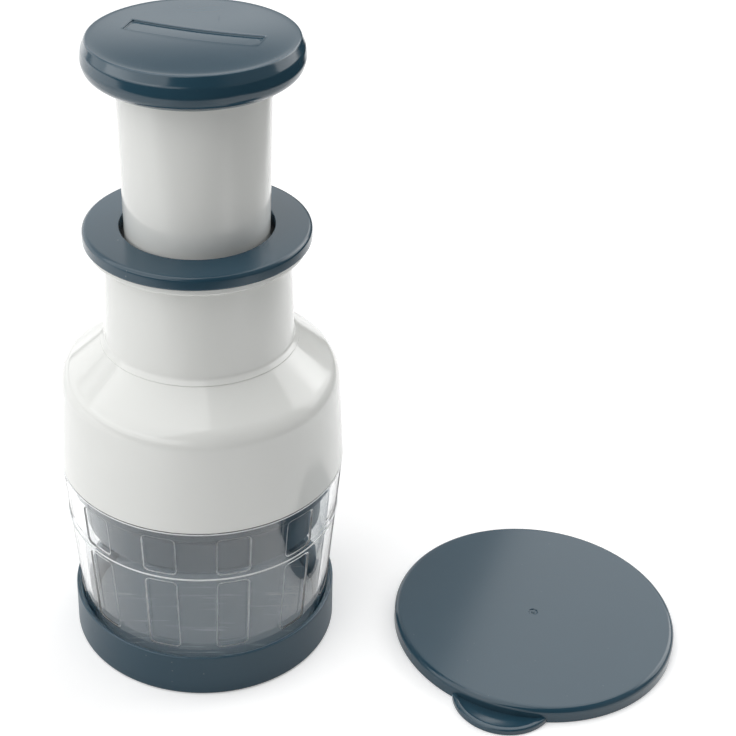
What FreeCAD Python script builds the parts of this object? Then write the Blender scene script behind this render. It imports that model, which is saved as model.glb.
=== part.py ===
import FreeCAD, Part
import math
import os

# Plunger food chopper, in millimetres. The origin is the middle of the base's rest face and +Z is up.
# Pressing the knob drives a zigzag blade down to the base, and a twisted spindle turns it on the way.

# Running and seating clearances
run_gap = 0.3
fit_gap = 0.05
shaft_gap = 0.1
slot_gap = 0.35

# A rounding takes at most this share of a side, and shorter lines than this are left out
largest_share = 0.49
least_length = 0.001

# Stroke of the plunger, and the turn of the blade over one stroke in degrees
stroke = 46.0
turn_per_stroke = 60.0

# Base cap and chopping mat
base_rim_width = 1.9
base_taper = 0.2
base_height = 17.5
base_floor = 3.0
base_foot_round = 1.2
base_rim_round = 0.5
base_rim_fall = 1.3
mat_thickness = 4.6
mat_bevel = 0.6
board_gap = 0.5

# Clear cup, a drafted tube with two rows of sunk windows and a bead between them
cup_r_at_base_rim = 46.1
cup_top_r = 50.5
cup_wall = 2.8
cup_edge_round = 0.5
window_count = 12
window_first_azimuth = 14.0
window_angle = 14.6
window_depth = 0.7
window_round = 2.2
window_foot = 2.5
window_head = 2.9
window_to_bead = 1.5
bead_height = 1.4
bead_proud = 0.45

# Blade guard inside the top of the cup
guard_clearance = 4.7
guard_wall = 1.6
guard_lip = 1.2
guard_lip_width = 2.6
guard_height_in_cup = 21.9
guard_flare_rise = 3.0
guard_spigot_height = 5.4
guard_flange = 2.0
bead_above_guard_foot = 0.8

# Wiper plate and its retaining ring
wiper_thickness = 2.4
wiper_edge_tuck = 0.1
wiper_ring_height = 1.5
wiper_ring_width = 2.35

# Zigzag blade, bent from strip, and its carrier
blade_half_thickness = 0.3
blade_edge_half = 0.06
blade_bevel = 2.5
blade_bend_r = 1.6
blade_legs = 5
blade_end_angle = 20.0
blade_inset = 3.8
blade_root = 1.2
carrier_clearance = 3.0
carrier_thickness = 3.0
carrier_bevel = 0.5
carrier_gap = 0.8

# Twisted spindle, its foot, journal, clip and washer
spindle_side = 6.5
spindle_twist_step = 6.0
spindle_shaft_r = 4.2
journal_shoulder = 1.2
foot_rivet_count = 3
foot_rivet_r = 1.0
foot_rivet_head_r = 1.7
foot_rivet_head = 0.3
foot_rivet_from_bar = 2.3
foot_rivet_to_edge = 2.1
spindle_foot_thickness = 1.6
thrust_washer_width = 4.0
thrust_washer_thickness = 0.8
clip_width = 2.4
clip_thickness = 1.2
clip_slot_angle = 50.0
clip_groove = 0.5
journal_end = 1.5

# Spindle nut in the floor of the guide barrel
nut_wall = 3.3
nut_flange_width = 1.9
nut_flange = 1.5
nut_boss_wall = 2.6
nut_boss_height = 4.2

# Guide barrel and its screws
barrel_gap = 0.6
barrel_floor = 2.5
barrel_wall = 1.6
barrel_flange_clearance = 4.8
screw_count = 3
screw_first_azimuth = 90.0
screw_inset = 4.0
screw_shank_r = 1.4
screw_head_r = 2.6
screw_head = 1.7
screw_length = 8.0
boss_r = 3.4

# White housing: drafted wall, rounded shoulder and a slope up to the neck
housing_wall = 2.4
housing_taper = 2.3
housing_seat_gap = 0.2
housing_ledge_width = 1.9
housing_ledge = 2.4
shoulder_drop = 0.8
shoulder_round = 10.0
shoulder_slope = 40.0

# Neck sleeve set in the housing's mouth, with a foot on the slope and a flange under the collar
neck_gap = 0.2
neck_wall = 2.2
neck_taper = 1.4
neck_foot_width = 1.6
neck_foot_edge = 0.5
neck_fillet = 1.6
neck_spigot_step = 0.9
neck_spigot_height = 3.2
neck_flange_width = 5.3
neck_flange = 2.7
neck_flange_round = 0.7

# Dark collar ring with a tongue in the neck flange
collar_overhang = 1.6
collar_height = 4.8
collar_hole_gap = 0.75
collar_round = 1.5
collar_hole_bevel = 0.4
tongue_inset = 2.1
tongue_half_width = 0.8
tongue_height = 1.8

# Plunger tube, its stop flange and the cap in its top
tube_head_r = 25.05
tube_taper = 0.9
tube_wall = 2.0
tube_foot_gap = 1.7
tube_flange = 2.9
tube_flange_gap = 0.3
tube_flange_catch = 1.4
tube_cap_thickness = 3.0
tube_cap_boss_wall = 2.9
tube_cap_boss = 8.0
tube_cap_below_knob = 2.8

# Knob, with a dished top and a bare sunk panel in it, and the plate and buffer under it
knob_gap = 6.8
knob_height = 11.8
knob_overhang = 6.25
knob_bulge = 4.0
knob_bulge_above_top = 1.9
knob_widest_above = 5.8
knob_foot_round = 0.8
knob_side_round = 5.0
knob_top_round = 3.2
knob_roof = 2.8
knob_wall = 2.3
knob_socket_wall = 2.0
knob_dish_inset = 4.9
knob_dish_depth = 0.9
knob_recess_length = 44.4
knob_recess_width = 8.2
knob_recess_depth = 0.6
knob_recess_round = 0.8
knob_recess_azimuth = -19.2
knob_recess_y = 3.3
underplate_thickness = 1.8
underplate_inset = 0.2
buffer_height = 2.6
buffer_width = 2.4

# Return spring and its two seats
spring_wire_r = 0.9
spring_to_tube = 5.65
spring_turns = 7
seat_thickness = 0.8
seat_width = 8.0

# Loose storage lid, lying beside the chopper
lid_gap = 0.25
lid_wall = 1.25
lid_height = 6.0
lid_roof = 1.5
lid_round = 2.4
lid_x = 123.8
lid_y = -10.6
lid_gate_r = 1.75
lid_gate_depth = 0.35
tab_r = 18.2
tab_inset = 8.9
tab_direction = 248.0
tab_thickness = 2.4
tab_dish_depth = 1.0
tab_rim = 1.8

# Heights that follow from the stack of pieces
mat_top = base_floor + mat_thickness
blade_edge_z = mat_top + board_gap + stroke
wiper_bottom = blade_edge_z - wiper_edge_tuck
wiper_top = wiper_bottom + wiper_thickness
guard_bottom = wiper_bottom - run_gap - guard_lip
joint_z = guard_bottom + guard_height_in_cup
bead_z = guard_bottom + bead_above_guard_foot
carrier_bottom = wiper_top + carrier_gap + stroke
carrier_top = carrier_bottom + carrier_thickness
barrel_bottom = carrier_top + barrel_gap
barrel_floor_top = barrel_bottom + barrel_floor
shoulder_z = barrel_bottom - shoulder_drop
tube_foot_z = barrel_floor_top + tube_foot_gap + stroke
collar_bottom = tube_foot_z + tube_flange + tube_flange_gap
collar_top = collar_bottom + collar_height
neck_flange_z = collar_bottom - neck_flange
knob_bottom = collar_top + knob_gap + stroke
knob_top = knob_bottom + knob_height
tube_top = knob_top - knob_roof - knob_dish_depth
nut_top = barrel_floor_top + nut_boss_height + nut_flange
tube_cap_top = knob_bottom - tube_cap_below_knob
tube_cap_bottom = tube_cap_top - tube_cap_thickness
cup_bottom = base_floor + run_gap
cup_top = joint_z - housing_seat_gap
guard_flange_z = joint_z + housing_seat_gap
guard_flange_top = guard_flange_z + guard_flange
clip_z = tube_cap_top + shaft_gap + thrust_washer_thickness

# Radii of the base, cup, guard and blade, each from the piece it fits
base_rim_r = cup_r_at_base_rim + run_gap + base_rim_width
base_bottom_r = base_rim_r + base_taper
cup_draft = (cup_top_r - cup_r_at_base_rim) / (cup_top - base_height)
guard_r = cup_top_r - cup_wall - guard_clearance
guard_inner_r = guard_r - guard_wall
wiper_r = guard_inner_r - run_gap
carrier_r = guard_inner_r - carrier_clearance
blade_r = carrier_r - blade_inset
lid_inner_r = cup_top_r + lid_gap
lid_r = lid_inner_r + lid_wall

# Radii of the plunger, barrel, neck, collar and knob, each from the piece it fits
tube_foot_r = tube_head_r - tube_taper
tube_draft = tube_taper / (tube_top - tube_foot_z)
collar_hole_r = tube_head_r + collar_hole_gap
barrel_bore_r = collar_hole_r + tube_flange_catch
barrel_outer_r = barrel_bore_r + barrel_wall
tube_flange_r = barrel_bore_r - run_gap
neck_inner_r = barrel_outer_r + neck_gap
neck_top_r = neck_inner_r + neck_wall
neck_foot_r = neck_top_r + neck_taper
neck_spigot_r = neck_foot_r - neck_spigot_step
neck_flange_r = neck_top_r + neck_flange_width
tongue_r = neck_top_r + tongue_inset
collar_r = neck_flange_r + collar_overhang
knob_foot_r = tube_head_r + knob_overhang
knob_widest_r = knob_foot_r + knob_bulge
knob_top_r = knob_widest_r - knob_bulge_above_top
knob_dish_r = knob_top_r - knob_dish_inset
spring_mean_r = tube_foot_r - tube_wall - spring_to_tube

# Radii of the housing, the screws, the spindle and its nut
housing_top_r = cup_top_r - housing_taper
housing_draft = housing_taper / (shoulder_z - joint_z)
barrel_flange_r = housing_top_r - housing_wall - barrel_flange_clearance
screw_circle_r = barrel_flange_r - screw_inset
spindle_corner_r = spindle_side / math.sqrt(2)
spindle_journal_r = spindle_shaft_r - journal_shoulder
foot_rivet_circle_r = spindle_corner_r + foot_rivet_from_bar
spindle_foot_r = foot_rivet_circle_r + foot_rivet_to_edge
thrust_washer_r = spindle_journal_r + thrust_washer_width
clip_r = spindle_journal_r + clip_width
nut_r = spindle_corner_r + nut_wall
nut_flange_r = nut_r + nut_flange_width
nut_boss_r = nut_r + nut_boss_wall
tube_cap_boss_r = spindle_journal_r + shaft_gap + tube_cap_boss_wall
twist_rate = turn_per_stroke / stroke

# The slope above the shoulder, and the heights where the neck sleeve meets it
slope_angle = math.radians(shoulder_slope)
slope_start_r = housing_top_r - shoulder_round * (1 - math.cos(slope_angle))
slope_start_z = shoulder_z + shoulder_round * math.sin(slope_angle)

origin = FreeCAD.Vector(0, 0, 0)
up = FreeCAD.Vector(0, 0, 1)


def cup_outer_r(z):
    """Outer radius of the clear cup at a height."""
    return cup_r_at_base_rim + cup_draft * (z - base_height)


def housing_outer_r(z):
    """Outer radius of the housing's drafted wall at a height."""
    return cup_top_r - housing_draft * (z - joint_z)


def tube_outer_r(z):
    """Outer radius of the plunger tube at a height."""
    return tube_foot_r + tube_draft * (z - tube_foot_z)


def outline(corners):
    """Closed wire in the XZ plane through (x, z) corners, where a third number rounds the corner."""
    count = len(corners)
    places = [FreeCAD.Vector(corner[0], 0, corner[1]) for corner in corners]
    bends = []
    for index, corner in enumerate(corners):
        here = places[index]
        back = places[index - 1] - here
        ahead = places[(index + 1) % count] - here
        if len(corner) < 3:
            bends.append((here, None, here))
            continue
        half_angle = back.getAngle(ahead) / 2
        longest = largest_share * min(back.Length, ahead.Length)
        reach = min(corner[2] / math.tan(half_angle), longest)
        radius = reach * math.tan(half_angle)
        back.normalize()
        ahead.normalize()
        inward = (back + ahead).normalize()
        middle = here + inward * (radius / math.sin(half_angle) - radius)
        bends.append((here + back * reach, middle, here + ahead * reach))
    edges = []
    for index, (start, middle, end) in enumerate(bends):
        if middle is not None:
            edges.append(Part.Arc(start, middle, end).toShape())
        following = bends[(index + 1) % count][0]
        if end.distanceToPoint(following) > least_length:
            edges.append(Part.LineSegment(end, following).toShape())
    return Part.Wire(edges)


def turned(corners):
    """Solid turned about the Z axis from an outline."""
    return Part.Face(outline(corners)).revolve(origin, up, 360)


def ring(inner_r, outer_r, bottom, height):
    """Plain flat ring about the Z axis."""
    top = bottom + height
    return turned([(inner_r, bottom), (outer_r, bottom), (outer_r, top), (inner_r, top)])


def disc(radius, bottom, height, x=0.0, y=0.0):
    """Upright cylinder with its axis at x, y."""
    return Part.makeCylinder(radius, height, FreeCAD.Vector(x, y, bottom), up)


def round_places(count, radius, first=0.0):
    """Evenly spaced places on a circle about the Z axis."""
    angles = [math.radians(first + 360.0 * index / count) for index in range(count)]
    return [(radius * math.cos(angle), radius * math.sin(angle)) for angle in angles]


def base_cap():
    """Shallow flat-bottomed dish that the cup stands in."""
    inner_foot_r = cup_outer_r(base_floor) + run_gap
    inner_rim_r = cup_outer_r(base_height) + run_gap
    return turned([
        (0, 0),
        (base_bottom_r, 0, base_foot_round),
        (base_rim_r, base_height, base_rim_round),
        (inner_rim_r, base_height - base_rim_fall),
        (inner_foot_r, base_floor),
        (0, base_floor),
    ])


def chopping_mat():
    """Disc on the base's floor that the blade chops against."""
    radius = cup_outer_r(cup_bottom) - cup_wall - run_gap
    return turned([
        (0, base_floor),
        (radius, base_floor),
        (radius, mat_top - mat_bevel),
        (radius - mat_bevel, mat_top),
        (0, mat_top),
    ])


def window_recess(bottom, top):
    """One sunk window of the cup, facing -Y, before it is turned to its place."""
    half_width = cup_outer_r((bottom + top) / 2) * math.sin(math.radians(window_angle / 2))
    face = Part.Face(outline([
        (-half_width, bottom, window_round),
        (half_width, bottom, window_round),
        (half_width, top, window_round),
        (-half_width, top, window_round),
    ]))
    block = face.extrude(FreeCAD.Vector(0, -2 * cup_top_r, 0))
    band = turned([
        (cup_outer_r(bottom) - window_depth, bottom),
        (2 * cup_top_r, bottom),
        (2 * cup_top_r, top),
        (cup_outer_r(top) - window_depth, top),
    ])
    return block.common(band)


def clear_cup():
    """Drafted clear tube with two rows of sunk windows and a thin bead between the rows."""
    half_bead = bead_height / 2
    cup = turned([
        (cup_outer_r(cup_bottom) - cup_wall, cup_bottom),
        (cup_outer_r(cup_bottom), cup_bottom, cup_edge_round),
        (cup_outer_r(bead_z - half_bead), bead_z - half_bead),
        (cup_outer_r(bead_z) + bead_proud, bead_z, bead_proud),
        (cup_outer_r(bead_z + half_bead), bead_z + half_bead),
        (cup_top_r, cup_top, cup_edge_round),
        (cup_top_r - cup_wall, cup_top),
    ])
    lower = window_recess(base_height + window_foot, bead_z - window_to_bead)
    upper = window_recess(bead_z + window_to_bead, joint_z - window_head)
    recesses = []
    for index in range(window_count):
        azimuth = window_first_azimuth + 360.0 * index / window_count
        for recess in (lower, upper):
            recesses.append(recess.copy().rotate(origin, up, azimuth))
    return cup.cut(Part.makeCompound(recesses))


def blade_guard():
    """Dark sleeve that hangs from the housing into the cup and holds the wiper."""
    lip_top = guard_bottom + guard_lip
    spigot_z = joint_z - guard_spigot_height
    spigot_r = cup_outer_r(spigot_z) - cup_wall - run_gap
    spigot_inner_r = spigot_r - guard_wall
    flange_r = housing_outer_r(guard_flange_top) - housing_wall - fit_gap
    return turned([
        (guard_inner_r - guard_lip_width, guard_bottom),
        (guard_r, guard_bottom, guard_lip / 2),
        (guard_r, spigot_z - guard_flare_rise),
        (spigot_r, spigot_z),
        (spigot_r, guard_flange_z),
        (flange_r, guard_flange_z),
        (flange_r, guard_flange_top),
        (spigot_inner_r, guard_flange_top),
        (spigot_inner_r, spigot_z + guard_wall / 2),
        (guard_inner_r, spigot_z + guard_wall / 2 - guard_flare_rise),
        (guard_inner_r, lip_top),
        (guard_inner_r - guard_lip_width, lip_top),
    ])


def wiper_ring():
    """Snap ring in the guard that keeps the wiper plate from lifting."""
    bottom = wiper_top + run_gap
    return ring(guard_inner_r - wiper_ring_width, guard_inner_r, bottom, wiper_ring_height)


def zigzag_corners(z):
    """Corners of the zigzag, evenly spaced along X and all on one circle."""
    half_span = blade_r * math.cos(math.radians(blade_end_angle))
    corners = []
    for index in range(blade_legs + 1):
        x = half_span * (2 * index / blade_legs - 1)
        y = math.sqrt(blade_r ** 2 - x ** 2)
        corners.append(FreeCAD.Vector(x, y if index % 2 else -y, z))
    return corners


def zigzag_outline(half_thickness, longer, z):
    """Closed wire round the bent strip at a height, with its two ends longer by a length."""
    points = zigzag_corners(z)
    points[0] += (points[0] - points[1]).normalize() * longer
    points[-1] += (points[-1] - points[-2]).normalize() * longer
    courses = [(after - before).normalize() for before, after in zip(points, points[1:])]
    normals = [up.cross(course) for course in courses]
    sides = []
    for side in (1, -1):
        edges = []
        last = points[0] + normals[0] * (side * half_thickness)
        for index in range(1, len(points) - 1):
            course = courses[index - 1]
            turn = 1 if up.dot(course.cross(courses[index])) > 0 else -1
            half_turn = course.getAngle(courses[index]) / 2
            bend_start = points[index] - course * (blade_bend_r * math.tan(half_turn))
            centre = bend_start + normals[index - 1] * (turn * blade_bend_r)
            radius = (blade_bend_r - side * turn * half_thickness) * turn
            between = (normals[index - 1] + normals[index]).normalize()
            arc_start = centre - normals[index - 1] * radius
            arc_end = centre - normals[index] * radius
            edges.append(Part.LineSegment(last, arc_start).toShape())
            edges.append(Part.Arc(arc_start, centre - between * radius, arc_end).toShape())
            last = arc_end
        end = points[-1] + normals[-1] * (side * half_thickness)
        edges.append(Part.LineSegment(last, end).toShape())
        sides.append((edges, points[0] + normals[0] * (side * half_thickness), end))
    (left, left_start, left_end), (right, right_start, right_end) = sides
    head = Part.LineSegment(left_end, right_end).toShape()
    tail = Part.LineSegment(right_start, left_start).toShape()
    return Part.Wire(left + [head] + right[::-1] + [tail])


def zigzag_blade():
    """Stainless strip bent to a zigzag, with its lower edge ground thin."""
    bevel_top = blade_edge_z + blade_bevel
    thin = zigzag_outline(blade_edge_half, 0, blade_edge_z)
    thick = zigzag_outline(blade_half_thickness, 0, bevel_top)
    bevel = Part.makeLoft([thin, thick], True, True)
    height = carrier_bottom + blade_root - bevel_top
    body = Part.Face(thick).extrude(FreeCAD.Vector(0, 0, height))
    return bevel.fuse(body)


def wiper_plate():
    """Thin disc with a zigzag slot that scrapes the blade clean as it rises."""
    plate = turned([
        (0, wiper_bottom),
        (wiper_r, wiper_bottom),
        (wiper_r, wiper_top),
        (0, wiper_top),
    ])
    slot_outline = zigzag_outline(blade_half_thickness + slot_gap, slot_gap, wiper_bottom - wiper_thickness)
    slot = Part.Face(slot_outline).extrude(FreeCAD.Vector(0, 0, 3 * wiper_thickness))
    return plate.cut(slot)


def blade_carrier():
    """Disc that the blade's top edge is moulded into, with a seat for the spindle's foot."""
    carrier = turned([
        (0, carrier_bottom),
        (carrier_r, carrier_bottom),
        (carrier_r, carrier_top - carrier_bevel),
        (carrier_r - carrier_bevel, carrier_top),
        (0, carrier_top),
    ])
    groove_outline = zigzag_outline(blade_half_thickness, 0, carrier_bottom - blade_root)
    groove = Part.Face(groove_outline).extrude(FreeCAD.Vector(0, 0, 2 * blade_root))
    foot_seat_z = carrier_top - spindle_foot_thickness
    carrier = carrier.cut(groove).cut(disc(spindle_foot_r + fit_gap, foot_seat_z, carrier_thickness))
    for x, y in round_places(foot_rivet_count, foot_rivet_circle_r):
        carrier = carrier.cut(disc(foot_rivet_r, carrier_bottom, carrier_thickness, x, y))
    return carrier


def foot_rivets():
    """Rivets that hold the spindle's foot to the carrier."""
    rivets = []
    for x, y in round_places(foot_rivet_count, foot_rivet_circle_r):
        shank = disc(foot_rivet_r, carrier_bottom, carrier_thickness, x, y)
        head = disc(foot_rivet_head_r, carrier_top, foot_rivet_head, x, y)
        rivets.append(shank.fuse(head))
    return Part.makeCompound(rivets)


def twisted_bar(side, bottom, top):
    """Square bar that winds about Z as it climbs, one turn rate for the spindle and its nut."""
    steps = math.ceil(twist_rate * (top - bottom) / spindle_twist_step)
    sections = []
    for step in range(steps + 1):
        z = bottom + (top - bottom) * step / steps
        first = 45 + twist_rate * (z - barrel_bottom)
        corners = [FreeCAD.Vector(x, y, z) for x, y in round_places(4, side / math.sqrt(2), first)]
        sections.append(Part.makePolygon(corners + corners[:1]))
    return Part.makeLoft(sections, True, True)


def spindle():
    """Foot, twisted square length, round shaft and the journal that turns in the tube's cap."""
    foot_z = carrier_top - spindle_foot_thickness
    foot = disc(spindle_foot_r, foot_z, spindle_foot_thickness)
    for x, y in round_places(foot_rivet_count, foot_rivet_circle_r):
        foot = foot.cut(disc(foot_rivet_r, foot_z, spindle_foot_thickness, x, y))
    twist_top = nut_top + stroke + run_gap
    bar = twisted_bar(spindle_side, foot_z + spindle_foot_thickness / 2, twist_top)
    shaft_top = tube_cap_bottom - tube_cap_boss + tube_cap_thickness - run_gap
    journal_top = clip_z + clip_thickness + journal_end
    shaft = disc(spindle_shaft_r, twist_top, shaft_top - twist_top)
    journal = disc(spindle_journal_r, shaft_top, journal_top - shaft_top)
    groove = ring(spindle_journal_r - clip_groove, 2 * spindle_journal_r, clip_z, clip_thickness)
    return foot.fuse([bar, shaft, journal]).cut(groove).removeSplitter()


def thrust_washer():
    """Washer that carries the pull of the spindle on the tube's cap."""
    inner_r = spindle_journal_r + fit_gap
    return ring(inner_r, thrust_washer_r, tube_cap_top + shaft_gap, thrust_washer_thickness)


def spindle_clip():
    """Open retaining clip in the groove of the journal."""
    clip = ring(spindle_journal_r - clip_groove, clip_r, clip_z, clip_thickness)
    mouth_width = 2 * spindle_journal_r * math.sin(math.radians(clip_slot_angle / 2))
    corner = FreeCAD.Vector(0, -mouth_width / 2, clip_z)
    return clip.cut(Part.makeBox(2 * clip_r, mouth_width, clip_thickness, corner))


def spindle_nut():
    """Flanged nut with a twisted square bore, fixed in the barrel's floor."""
    nut = disc(nut_r, barrel_bottom, nut_top - barrel_bottom)
    nut = nut.fuse(disc(nut_flange_r, nut_top - nut_flange, nut_flange)).removeSplitter()
    bore_side = spindle_side + 2 * shaft_gap
    return nut.cut(twisted_bar(bore_side, barrel_bottom - nut_flange, nut_top + nut_flange))


def guide_barrel():
    """Barrel that guides the plunger's flange, with a floor, a nut boss and a screwed flange."""
    boss_top = barrel_floor_top + nut_boss_height
    barrel = turned([
        (nut_r, barrel_bottom),
        (barrel_flange_r, barrel_bottom),
        (barrel_flange_r, barrel_floor_top),
        (barrel_outer_r, barrel_floor_top),
        (barrel_outer_r, collar_bottom),
        (barrel_bore_r, collar_bottom),
        (barrel_bore_r, barrel_floor_top),
        (nut_boss_r, barrel_floor_top),
        (nut_boss_r, boss_top),
        (nut_r, boss_top),
    ])
    for x, y in round_places(screw_count, screw_circle_r, screw_first_azimuth):
        barrel = barrel.cut(countersunk_screw(x, y, screw_shank_r + fit_gap))
    return barrel


def countersunk_screw(x, y, shank_r):
    """Screw with its flat head flush in the underside of the barrel's flange."""
    place = FreeCAD.Vector(x, y, barrel_bottom)
    head = Part.makeCone(screw_head_r, shank_r, screw_head, place, up)
    return head.fuse(disc(shank_r, barrel_bottom + screw_head, screw_length - screw_head, x, y))


def barrel_screws():
    """Screws that hold the guide barrel up to the housing's bosses."""
    places = round_places(screw_count, screw_circle_r, screw_first_azimuth)
    return Part.makeCompound([countersunk_screw(x, y, screw_shank_r) for x, y in places])


def slope_z(r, inward=0.0):
    """Height of the slope above the shoulder at a radius, moved inward by a wall."""
    return slope_start_z + (slope_start_r - r) * math.tan(slope_angle) - inward / math.cos(slope_angle)


def housing_shell():
    """White moulding: skirt over the cup, rounded shoulder and slope, with screw bosses inside."""
    ledge_z = guard_flange_top
    ledge_top = ledge_z + housing_ledge
    ledge_r = housing_outer_r(ledge_z) - housing_wall
    mouth_r = neck_spigot_r + fit_gap
    inner_top_r = housing_top_r - housing_wall
    outer = [
        (cup_top_r, joint_z),
        (housing_top_r, slope_z(housing_top_r), shoulder_round),
        (mouth_r, slope_z(mouth_r)),
    ]
    inner = [
        (mouth_r, slope_z(mouth_r, housing_wall)),
        (inner_top_r, slope_z(inner_top_r, housing_wall), shoulder_round - housing_wall),
        (housing_outer_r(ledge_top) - housing_wall, ledge_top),
        (ledge_r - housing_ledge_width, ledge_top),
        (ledge_r - housing_ledge_width, ledge_z),
        (ledge_r, ledge_z),
        (cup_top_r - housing_wall, joint_z),
    ]
    shell = turned(outer + inner)
    envelope = turned(outer + [(0, slope_z(mouth_r)), (0, joint_z)])
    hollow = disc(mouth_r, barrel_floor_top, 2 * shoulder_round)
    for x, y in round_places(screw_count, screw_circle_r, screw_first_azimuth):
        boss = disc(boss_r, barrel_floor_top, 2 * shoulder_round, x, y).common(envelope).cut(hollow)
        shell = shell.fuse(boss)
    for x, y in round_places(screw_count, screw_circle_r, screw_first_azimuth):
        shell = shell.cut(countersunk_screw(x, y, screw_shank_r + fit_gap))
    return shell


def neck_sleeve():
    """White neck with a spigot in the housing's mouth, a foot on its slope and a grooved flange."""
    foot_r = neck_foot_r + neck_foot_width
    spigot_top = slope_z(neck_spigot_r)
    foot_edge_z = slope_z(foot_r) + neck_foot_edge
    neck_start_z = slope_z(neck_foot_r) + neck_foot_edge
    return turned([
        (neck_inner_r, spigot_top - neck_spigot_height),
        (neck_spigot_r, spigot_top - neck_spigot_height),
        (neck_spigot_r, spigot_top),
        (foot_r, slope_z(foot_r)),
        (foot_r, foot_edge_z),
        (neck_foot_r, neck_start_z, neck_fillet),
        (neck_top_r, neck_flange_z),
        (neck_flange_r, neck_flange_z, neck_flange_round),
        (neck_flange_r, collar_bottom),
        (tongue_r + tongue_half_width, collar_bottom),
        (tongue_r + tongue_half_width, collar_bottom - tongue_height),
        (tongue_r - tongue_half_width, collar_bottom - tongue_height),
        (tongue_r - tongue_half_width, collar_bottom),
        (neck_inner_r, collar_bottom),
    ])


def collar_ring():
    """Dark ring that closes the neck and stops the plunger's flange."""
    return turned([
        (collar_hole_r, collar_bottom),
        (tongue_r - tongue_half_width, collar_bottom),
        (tongue_r - tongue_half_width, collar_bottom - tongue_height),
        (tongue_r + tongue_half_width, collar_bottom - tongue_height),
        (tongue_r + tongue_half_width, collar_bottom),
        (collar_r, collar_bottom, collar_round / 2),
        (collar_r, collar_top, collar_round),
        (collar_hole_r + collar_hole_bevel, collar_top),
        (collar_hole_r, collar_top - collar_hole_bevel),
    ])


def plunger_tube():
    """White drafted tube with a stop flange round its foot."""
    flange_top = tube_foot_z + tube_flange
    return turned([
        (tube_foot_r - tube_wall, tube_foot_z),
        (tube_flange_r, tube_foot_z),
        (tube_flange_r, flange_top),
        (tube_outer_r(flange_top), flange_top),
        (tube_head_r, tube_top),
        (tube_head_r - tube_wall, tube_top),
    ])


def tube_cap():
    """Cross wall in the top of the tube that bears the spring and the spindle's journal."""
    bore_r = spindle_journal_r + shaft_gap
    cap_r = tube_outer_r(tube_cap_bottom) - tube_wall - fit_gap
    boss_bottom = tube_cap_top - tube_cap_boss
    return turned([
        (bore_r, boss_bottom),
        (tube_cap_boss_r, boss_bottom),
        (tube_cap_boss_r, tube_cap_bottom),
        (cap_r, tube_cap_bottom),
        (cap_r, tube_cap_top),
        (bore_r, tube_cap_top),
    ])


def knob_recess():
    """Bare sunk panel in the knob's top, lying a little across."""
    floor_z = knob_top - knob_dish_depth - knob_recess_depth
    corner = FreeCAD.Vector(-knob_recess_length / 2, -knob_recess_width / 2, floor_z)
    panel = Part.makeBox(knob_recess_length, knob_recess_width, knob_top - floor_z, corner)
    upright = [edge for edge in panel.Edges if edge.BoundBox.ZLength > knob_recess_depth]
    panel = panel.makeFillet(knob_recess_round, upright)
    panel.rotate(origin, up, knob_recess_azimuth)
    panel.translate(FreeCAD.Vector(0, knob_recess_y, 0))
    return panel


def knob_shell():
    """Dark cap of the plunger, rounded at the side and dished on top."""
    widest_z = knob_bottom + knob_widest_above
    cap = turned([
        (0, knob_bottom),
        (knob_foot_r, knob_bottom, knob_foot_round),
        (knob_widest_r, widest_z, knob_side_round),
        (knob_top_r, knob_top, knob_top_round),
        (0, knob_top),
    ])
    dish_sphere_r = (knob_dish_r ** 2 + knob_dish_depth ** 2) / (2 * knob_dish_depth)
    dish_centre = FreeCAD.Vector(0, 0, knob_top - knob_dish_depth + dish_sphere_r)
    dish = Part.makeSphere(dish_sphere_r, dish_centre)
    socket = disc(tube_head_r + fit_gap, knob_bottom, tube_top - knob_bottom)
    socket_r = tube_head_r + knob_socket_wall
    socket_foot = knob_bottom + underplate_inset + underplate_thickness
    cavity_r = knob_foot_r - knob_wall
    cavity = ring(socket_r, cavity_r, knob_bottom, tube_top - knob_bottom)
    mouth = disc(cavity_r, knob_bottom, socket_foot - knob_bottom)
    return cap.cut([dish, knob_recess(), socket, cavity, mouth]).removeSplitter()


def knob_underplate():
    """Ring that closes the underside of the knob round the tube."""
    bottom = knob_bottom + underplate_inset
    outer_r = knob_foot_r - knob_wall - fit_gap
    return ring(tube_head_r + fit_gap, outer_r, bottom, underplate_thickness)


def buffer_ring():
    """Soft ring under the knob that takes the blow when it is pressed home."""
    bottom = knob_bottom + underplate_inset - buffer_height
    inner_r = tube_head_r + fit_gap
    return turned([
        (inner_r, bottom),
        (inner_r + buffer_width / 2, bottom),
        (inner_r + buffer_width, bottom + buffer_width / 2),
        (inner_r + buffer_width, knob_bottom + underplate_inset),
        (inner_r, knob_bottom + underplate_inset),
    ])


def lower_spring_seat():
    """Washer under the spring on the floor of the barrel, round the nut's boss."""
    outer_r = spring_mean_r + seat_width / 2
    return ring(nut_boss_r + run_gap, outer_r, barrel_floor_top, seat_thickness)


def upper_spring_seat():
    """Washer over the spring against the tube's cap."""
    bottom = tube_cap_bottom - seat_thickness
    return ring(spring_mean_r - seat_width / 2, spring_mean_r + seat_width / 2, bottom, seat_thickness)


def bend(start, corner, end):
    """Arc that leaves start towards the corner and reaches end from it."""
    middle = (start + end) / 2
    half_chord = start.distanceToPoint(end) / 2
    run = start.distanceToPoint(corner)
    angle = math.acos(half_chord / run)
    sagitta = half_chord * (1 - math.cos(angle)) / math.sin(angle)
    return Part.Arc(start, middle + (corner - middle).normalize() * sagitta, end).toShape()


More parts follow.
